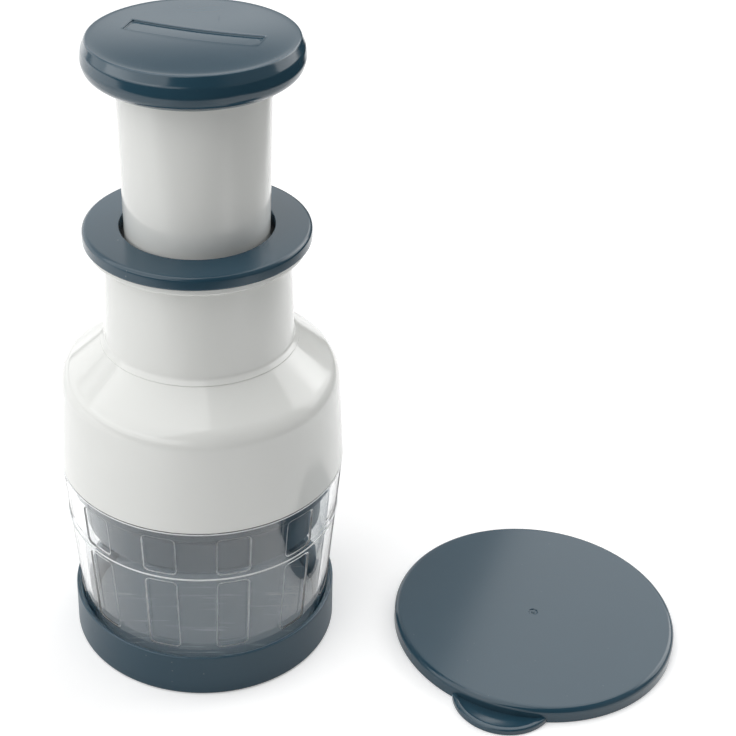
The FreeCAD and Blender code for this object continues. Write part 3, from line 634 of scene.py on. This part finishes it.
# Collar ring: a flat slate-blue ring with a rounded outer edge. Its tongue snaps into the groove of
# the neck's flange, and it keeps the plunger in.
collar_top = 165.0
collar_r = 38.1
collar_bore_r = 25.8
collar_foot_round = 0.75
collar_top_round = 1.5
collar_bore_round = 0.4
collar_corners = [
    (collar_bore_r, collar_foot), (tongue_r[0], collar_foot), (tongue_r[0], tongue_foot),
    (tongue_r[1], tongue_foot), (tongue_r[1], collar_foot), (collar_r, collar_foot, collar_foot_round),
    (collar_r, collar_top, collar_top_round), (collar_bore_r, collar_top, collar_bore_round),
]
slate_gloss = plastic(
    "slate gloss plastic", slate, slate_flow, 0.14, grain_scale=1400.0, grain=0.2, bump=0.06)
collar_mesh, _ = turned(collar_corners)
piece("collar_moulding", collar_mesh, slate_gloss, "housing", ["collar_ring"])

# Plunger tube: a drafted white tube with a stop flange round its foot, which slides through the
# collar. A thin black washer on the flange is painted shade, which darkens the gap under the collar.
tube_foot = 157.0
tube_flange_top = 159.9
tube_flange_r = 26.9
tube_top = 225.9
tube_foot_r = 24.18
tube_head_r = 25.05
tube_foot_bore_r = 22.15
tube_wall = 2.0
tube_corners = [
    (tube_foot_bore_r, tube_foot), (tube_flange_r, tube_foot), (tube_flange_r, tube_flange_top),
    (tube_foot_r, tube_flange_top), (tube_head_r, tube_top), (tube_head_r - tube_wall, tube_top),
]
tube_mesh, _ = turned(tube_corners)
piece("plunger_tube_moulding", tube_mesh, white_gloss, "plunger", ["plunger_tube"])

# Painted shade: a thin black ring on the flange, which stands in for the shade in the gap under the collar.
shade_washer_r = (24.3, 26.8)
shade_washer_thickness = 0.25
shade_washer_top = tube_flange_top + shade_washer_thickness
shade_washer_black = (0.012, 0.013, 0.014, 1)
shade_washer_black_flow = (0.016, 0.017, 0.018, 1)
shade_washer_plastic = plastic("painted shade washer", shade_washer_black, shade_washer_black_flow, 0.6, grain=0.8, bump=0.3)
shade_washer_mesh, _ = turned([
    (shade_washer_r[0], tube_flange_top), (shade_washer_r[1], tube_flange_top), (shade_washer_r[1], shade_washer_top), (shade_washer_r[0], shade_washer_top)])
piece("painted_shade_washer", shade_washer_mesh, shade_washer_plastic, "plunger")

# Return spring: round steel wire wound in seven turns between two washers inside the tube. The
# real spring shortens as the knob goes down; this coil is built at one length.
spring_r = 16.5
spring_wire_r = 0.9
spring_foot = 111.05
spring_head = 210.25
spring_turns = 7
spring_steps_a_turn = 40
spring_sides = 12


def coil(radius, wire_r, foot, head, turns):
    """Helix of round wire with flat ends."""
    mesh = bmesh.new()
    steps = turns * spring_steps_a_turn
    climb = (head - foot) / (2 * math.pi * turns)
    loops = []
    for step in range(steps + 1):
        angle = 2 * math.pi * turns * step / steps
        outward = Vector((math.cos(angle), math.sin(angle), 0))
        course = Vector((-radius * math.sin(angle), radius * math.cos(angle), climb)).normalized()
        across = course.cross(outward)
        middle = outward * radius + Vector((0, 0, foot + climb * angle))
        loops.append([
            mesh.verts.new((middle + (outward * math.cos(a) + across * math.sin(a)) * wire_r) * mm)
            for a in even_angles(spring_sides)])
    for lower, upper in zip(loops, loops[1:]):
        join_rings(mesh, lower, upper)
    mesh.faces.new(loops[0])
    mesh.faces.new(loops[-1])
    return mesh


spring_steel = steel("spring wire steel", (400.0, 400.0, 90.0), 0.26, 0.15)
spring_mesh = coil(spring_r, spring_wire_r, spring_foot, spring_head, spring_turns)
spring = piece("return_spring_coil", spring_mesh, spring_steel, "housing", ["return_spring"])
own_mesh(spring)

# Knob: a slate-blue cap with a bulging glossy side and a slightly dished top, with a bare sunk panel
# lying across it. A plate closes its underside, and a soft ring under that takes the blow.
knob_foot = 217.8
knob_head = 229.6
knob_foot_corner = (31.8, 1.2)
knob_side = ((34.5, 2.0, 5.0), (35.35, 5.2, 4.0), (34.95, 8.6, 4.0))
knob_head_corner = (33.5, 0.8)
knob_hollow_r = 29.0
knob_socket_foot = 219.8
knob_socket_r = 25.1
knob_socket_wall = 1.95
dish_r = 32.0
dish_depth = 1.1
dish_roundness = 1.25
dish_rows = (0.04, 0.09, 0.15, 0.22, 0.3, 0.4, 0.52, 0.66, 0.8, 0.92)
recess_length = 44.4
recess_width = 8.2
recess_depth = 0.65
recess_corner = 0.8
recess_azimuth = -19.2
recess_centre = Vector((0, 3.3))
recess_lip = ((0.35, 0.0), (0.16, 0.03), (0.05, 0.1), (0.0, 0.22))
recess_foot = ((0.0, 0.2), (-0.06, 0.08), (-0.18, 0.0))
panel_corner_points = 6
panel_end_points = 22
panel_side_points = turn_steps // 2 - 2 * panel_corner_points - panel_end_points
meeting_gap = 1e-6
knob_outer = [
    (knob_hollow_r, knob_foot), (knob_foot_corner[0], knob_foot, knob_foot_corner[1]),
    *[(radius, knob_foot + rise, rounding) for radius, rise, rounding in knob_side],
    (knob_head_corner[0], knob_head, knob_head_corner[1]), (dish_r, knob_head),
]
knob_inner = [
    (knob_hollow_r, knob_foot), (knob_hollow_r, tube_top), (knob_socket_r + knob_socket_wall, tube_top),
    (knob_socket_r + knob_socket_wall, knob_socket_foot), (knob_socket_r, knob_socket_foot),
    (knob_socket_r, tube_top), (0, tube_top),
]


def dish_height(place):
    """Height of the dished top at a place."""
    return knob_head - dish_depth * max(1 - place.length_squared / dish_r ** 2, 0) ** dish_roundness


def panel_outline(grow):
    """Points round the sunk panel, grown by a length, from the middle of its right end."""
    half_length = recess_length / 2 - recess_corner
    half_width = recess_width / 2 - recess_corner
    corners = []
    step_turn = 90 / (panel_corner_points - 1)
    for end_x, end_y, first in ((1, 1, 0), (-1, 1, 90), (-1, -1, 180), (1, -1, 270)):
        centre = Vector((end_x * half_length, end_y * half_width))
        turns = [math.radians(first + step_turn * step) for step in range(panel_corner_points)]
        corners.append([centre + Vector((math.cos(a), math.sin(a))) * (recess_corner + grow) for a in turns])
    points = []
    for index, corner in enumerate(corners):
        count = (panel_side_points, panel_end_points)[index % 2]
        following = corners[(index + 1) % len(corners)][0]
        points += corner
        points += [corner[-1].lerp(following, step / (count + 1)) for step in range(1, count + 1)]
    half_end = panel_end_points // 2
    points = points[-half_end:] + points[:-half_end]
    turn = Matrix.Rotation(math.radians(recess_azimuth), 2)
    return [turn @ point + recess_centre for point in points]


def dish_and_recess(mesh, rim):
    """Dished top inside the knob's rim, with the lip, side and floor of the sunk panel."""
    first_step = round(recess_azimuth / 360 * turn_steps)
    loop = rim[first_step:] + rim[:first_step]
    starts = [Vector(vert.co[:2]) / mm for vert in loop]
    lip_line = panel_outline(recess_lip[0][0])
    lines = [([start.lerp(end, share) for start, end in zip(starts, lip_line)], 0.0) for share in dish_rows]
    lines += [(panel_outline(grow), drop) for grow, drop in recess_lip]
    lines += [(panel_outline(grow), recess_depth - rise) for grow, rise in recess_foot]
    for line, drop in lines:
        upper = [mesh.verts.new(Vector((*place, dish_height(place) - drop)) * mm) for place in line]
        join_rings(mesh, loop, upper)
        loop = upper
    bmesh.ops.triangulate(mesh, faces=[mesh.faces.new(loop)])


def joined_to(mesh, other):
    """Adds another mesh to a mesh, with the points where they meet made one."""
    data = bpy.data.meshes.new("knob hollow")
    other.to_mesh(data)
    other.free()
    mesh.from_mesh(data)
    bpy.data.meshes.remove(data)
    bmesh.ops.remove_doubles(mesh, verts=mesh.verts, dist=meeting_gap)


knob_gloss = plastic(
    "slate knob plastic", slate, slate_flow, 0.12, grain_scale=1300.0, grain=0.2, dust=0.03, bump=0.05)
knob_mesh, knob_rings = turned(knob_outer, closed=False)
dish_and_recess(knob_mesh, knob_rings[-1])
knob_hollow, _ = turned(knob_inner, closed=False)
joined_to(knob_mesh, knob_hollow)
piece("knob_moulding", knob_mesh, knob_gloss, "plunger", ["knob_shell"])
dress(slate_satin, "knob_underplate")
buffer_grey = (0.5, 0.5, 0.49, 1)
buffer_grey_flow = (0.45, 0.45, 0.44, 1)
buffer_rubber = plastic("buffer rubber", buffer_grey, buffer_grey_flow, 0.6, grain=0.8, bump=0.4)
dress(buffer_rubber, "buffer_ring")

# Storage lid: a flat slate-blue disc with a short skirt and a thumb tab, which lies loose beside the
# chopper. The moulding gate left a small dimple with a nib in the middle of its face.
lid_place = (123.8, -10.6, 0)
lid_r = 52.0
lid_inner_r = 50.75
lid_height = 6.0
lid_roof = 1.5
lid_foot_round = 0.3
lid_edge_round = 2.3
lid_gate = ((1.75, 0.0, 0.2), (1.45, 0.35, 0.15), (0.75, 0.38, 0.2), (0.4, 0.05, 0.15))
lid_nib_below = 0.05
lid_corners = [
    (0, lid_height - lid_roof), (lid_inner_r, lid_height - lid_roof), (lid_inner_r, 0),
    (lid_r, 0, lid_foot_round), (lid_r, lid_height, lid_edge_round),
    *[(radius, lid_height - below, rounding) for radius, below, rounding in lid_gate],
    (0, lid_height - lid_nib_below),
]
tab_r = 18.2
tab_inset = 8.9
tab_azimuth = 248.0
tab_height = 2.4
tab_foot_round = 0.3
tab_edge_round = 1.0
tab_dish_corner = (16.6, 0.6)
tab_dish = ((15.6, 1.95), (13.0, 1.75), (8.0, 1.5), (0, 1.4))
tab_cut_r = 51.4
tab_cut = (-1, 8)
tab_corners = [
    (0, 0), (tab_r, 0, tab_foot_round), (tab_r, tab_height, tab_edge_round),
    (tab_dish_corner[0], tab_height, tab_dish_corner[1]), *tab_dish,
]


def cut_away(made, cutter_mesh):
    """Takes a cutter's volume out of an object's mesh for good."""
    data = bpy.data.meshes.new("cutter")
    bmesh.ops.recalc_face_normals(cutter_mesh, faces=cutter_mesh.faces)
    cutter_mesh.to_mesh(data)
    cutter_mesh.free()
    cutter = bpy.data.objects.new("cutter", data)
    bpy.context.scene.collection.objects.link(cutter)
    cut = made.modifiers.new("cut", "BOOLEAN")
    cut.operation = "DIFFERENCE"
    cut.object = cutter
    bpy.context.view_layer.update()
    result = bpy.data.meshes.new_from_object(made.evaluated_get(bpy.context.evaluated_depsgraph_get()))
    made.modifiers.remove(cut)
    made.data = result
    bpy.data.objects.remove(cutter)


lid_gloss = plastic(
    "slate lid plastic", slate, slate_flow, 0.09, grain_scale=1100.0, grain=0.2, dust=0.03, bump=0.05)
lid_mesh, _ = turned(lid_corners)
piece("storage_lid_disc", lid_mesh, lid_gloss, "lid", ["storage_lid"], lid_place)
tab_way = math.radians(tab_azimuth)
tab_place = (
    lid_place[0] + (lid_r - tab_inset) * math.cos(tab_way),
    lid_place[1] + (lid_r - tab_inset) * math.sin(tab_way), 0,
)
tab_mesh, _ = turned(tab_corners)
tab = piece("storage_lid_tab", tab_mesh, lid_gloss, "lid", ["storage_lid"], tab_place)
lid_core, _ = turned([(0, tab_cut[0]), (tab_cut_r, tab_cut[0]), (tab_cut_r, tab_cut[1]), (0, tab_cut[1])])
bmesh.ops.translate(lid_core, verts=lid_core.verts, vec=Vector(lid_place) * mm)
cut_away(tab, lid_core)

# Table: a wide pale matt top, which isn't part of the object. It reads as white to the camera and
# through the cup, it glows in glossy reflections at the sides only, and it keeps the shadows.
table_half = 4.0
table_z = -0.0001
table_colour = (0.86, 0.86, 0.86, 1)
table_roughness = 0.9
table_dark = (0.02, 0.02, 0.02, 1)
table_front_fade = (-0.36, -0.2, 1.0, 0.0)
table_right_fade = (0.24, 0.4)
table_left_gloss = (-0.12, -0.02, 1.6, 0.0)
table_right_gloss = (0.05, 0.12, 0.0, 1.3)
table_glow = (0.5, 1.6, 0.3, 1.0)
table_mesh = bmesh.new()
table_corners = [(x * table_half, y * table_half) for x, y in ((-1, -1), (1, -1), (1, 1), (-1, 1))]
table_mesh.faces.new([table_mesh.verts.new((x, y, table_z)) for x, y in table_corners])
table_data = bpy.data.meshes.new("table")
table_mesh.to_mesh(table_data)
table_mesh.free()
table = bpy.data.objects.new("table", table_data)
bpy.context.scene.collection.objects.link(table)


def background_rays(tree):
    """Light Path's outputs, and 1 for rays that show the background, straight or through the cup."""
    paths = wire(tree, "ShaderNodeLightPath").outputs
    return paths, sums(tree, "MAXIMUM", paths["Is Camera Ray"], paths["Is Transmission Ray"])


def table_top():
    """Pale matt table that glows more the farther it is from the object."""
    material, tree, shader = new_material("pale table")
    paths, seen = background_rays(tree)
    place = own_place(tree)
    along = wire(tree, "ShaderNodeSeparateXYZ", {0: place}).outputs
    far = sums(tree, "MAXIMUM", spread(tree, along["Y"], *table_front_fade),
               spread(tree, along["X"], *table_right_fade))
    beside = sums(tree, "MAXIMUM", spread(tree, along["X"], *table_left_gloss),
                  spread(tree, along["X"], *table_right_gloss))
    away = wire(tree, "ShaderNodeVectorMath", {0: place}, operation="LENGTH").outputs["Value"]
    glow = sums(tree, "MAXIMUM", seen, sums(tree, "MULTIPLY", paths["Is Glossy Ray"], beside))
    glow = sums(tree, "MULTIPLY", glow, spread(tree, away, *table_glow))
    dim = sums(tree, "MULTIPLY", paths["Is Glossy Ray"], far)
    shader["Base Color"].default_value = table_colour
    shader["Roughness"].default_value = table_roughness
    shader["Specular IOR Level"].default_value = 0.0
    shader["Emission Color"].default_value = (1, 1, 1, 1)
    tree.links.new(glow, shader["Emission Strength"])
    dark = wire(tree, "ShaderNodeEmission", {"Color": table_dark}).outputs[0]
    mixed = wire(tree, "ShaderNodeMixShader", {
        0: dim, 1: tree.nodes["Principled BSDF"].outputs[0], 2: dark}).outputs[0]
    tree.links.new(mixed, tree.nodes["Material Output"].inputs["Surface"])
    return material


table_data.materials.append(table_top())


# Lamps: four soft square boxes, a broad one at the left, one overhead, a low one at the right and
# one behind. All are turned to the lower half of the chopper.
def softbox(name, place, aim, size, radiance):
    """Area lamp of an even radiance, turned to a point."""
    lamp = bpy.data.lights.new(name, "AREA")
    lamp.shape = "RECTANGLE"
    lamp.size, lamp.size_y = size
    lamp.energy = radiance * math.pi * size[0] * size[1]
    made = bpy.data.objects.new(name, lamp)
    made.location = place
    made.rotation_euler = (Vector(aim) - Vector(place)).to_track_quat("-Z", "Y").to_euler()
    bpy.context.scene.collection.objects.link(made)


softbox("left softbox", (-0.68, -0.34, 0.98), (0, 0, 0.1), (1.6, 1.6), 1.92)
softbox("rear softbox", (0.72, 0.81, 0.86), (0.05, 0, 0.1), (1.0, 0.9), 1.35)
softbox("top softbox", (0.15, 0.2, 1.35), (0, 0, 0.1), (1.1, 1.1), 1.5)
softbox("right softbox", (1.02, 0.45, 0.6), (0, 0, 0.12), (0.9, 0.8), 2.0)

# Studio walls: white to the camera. In glossy reflections a bright band stands behind, with a low
# strip at the left and a faint wall at the right, and the rest is nearly dark.
wall_behind = (-0.05, 0.3)
wall_rise = (0.28, 0.44, 0.2, 1.9)
wall_fall = (0.44, 0.47, 1.0, 0.52)
wall_right = (0.3, 0.75, 0.0, 0.3)
wall_left = (-0.35, 0.0, 1.8, 0.0)
strip_foot = (0.01, 0.05)
strip_head = (0.28, 0.36, 1.0, 0.0)
wall_least = 0.04
ambient = 0.08


def studio_walls():
    """World whose brightness depends on the kind of ray and on the way that a reflection goes."""
    world = bpy.data.worlds.new("studio")
    world.use_nodes = True
    tree = world.node_tree
    way = wire(tree, "ShaderNodeSeparateXYZ", {
        0: wire(tree, "ShaderNodeTexCoord").outputs["Generated"]}).outputs
    band = sums(tree, "MULTIPLY", spread(tree, way["Z"], *wall_rise), spread(tree, way["Z"], *wall_fall))
    band = sums(tree, "MULTIPLY", spread(tree, way["Y"], *wall_behind), band)
    strip = sums(tree, "MULTIPLY", spread(tree, way["Z"], *strip_foot), spread(tree, way["Z"], *strip_head))
    strip = sums(tree, "MULTIPLY", spread(tree, way["X"], *wall_left), strip)
    walls = sums(tree, "MAXIMUM", spread(tree, way["X"], *wall_right), strip)
    walls = sums(tree, "ADD", sums(tree, "MAXIMUM", band, walls), wall_least)
    paths, seen = background_rays(tree)
    strength = sums(tree, "MAXIMUM", seen, sums(tree, "MULTIPLY", paths["Is Glossy Ray"], walls))
    strength = sums(tree, "MAXIMUM", strength, sums(tree, "MULTIPLY", paths["Is Diffuse Ray"], ambient))
    tree.links.new(strength, tree.nodes["Background"].inputs["Strength"])
    tree.nodes["Background"].inputs["Color"].default_value = (1, 1, 1, 1)
    return world


bpy.context.scene.world = studio_walls()

# Camera: it looks down at the object from the front, from the same angle and through the same lens
# as in the photograph.
camera_place = (0.02003, -0.4714, 0.4071)
camera_tilt = math.radians(57.61)
camera_lens = 78.36
camera_shift = 0.1495
camera_data = bpy.data.cameras.new("camera")
camera_data.lens = camera_lens
camera_data.shift_x = camera_shift
camera = bpy.data.objects.new("camera", camera_data)
camera.location = camera_place
camera.rotation_euler = (camera_tilt, 0, 0)
bpy.context.scene.collection.objects.link(camera)
bpy.context.scene.camera = camera
bpy.context.scene.view_settings.view_transform = "Standard"
